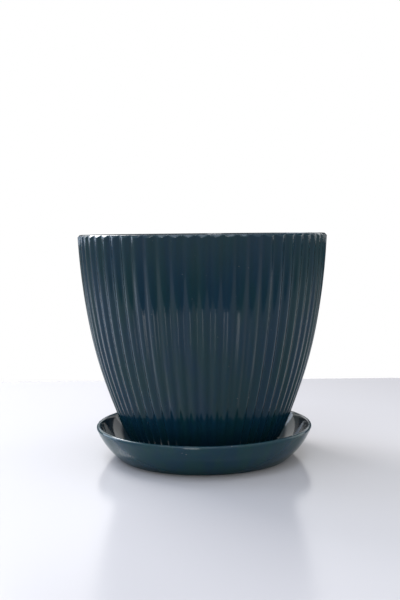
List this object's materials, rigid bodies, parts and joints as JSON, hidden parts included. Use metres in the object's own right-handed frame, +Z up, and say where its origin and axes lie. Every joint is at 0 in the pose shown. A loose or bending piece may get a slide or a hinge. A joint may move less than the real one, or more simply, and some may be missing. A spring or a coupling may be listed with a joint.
{
  "type": "plant pot with saucer",
  "caption": "Flared round plastic plant pot with 62 upright ribs that run from a narrow bevelled rim down to its foot, fading over the heel, standing in a loose round saucer with a rounded rim.",
  "frame": {"origin": "centre of the saucer's underside, on the surface that it stands on", "axes": "+Z up along the axis of the pot and saucer; a rib of the pot faces -Y"},
  "size_m": [0.1646, 0.1648, 0.1485],
  "materials": {
    "saucer_plastic": "glossy dark petrol blue, moulded",
    "pot_plastic": "semi-gloss dark petrol blue, moulded"
  },
  "bodies": {
    "saucer": {"saucer": "saucer_plastic"},
    "pot": {"pot": "pot_plastic"}
  },
  "joints": [
    {"name": "pot_lift", "type": "slide", "parent": "saucer", "child": "pot", "axis": [0, 0, 1], "range_m": [0, 0.06]}
  ]
}
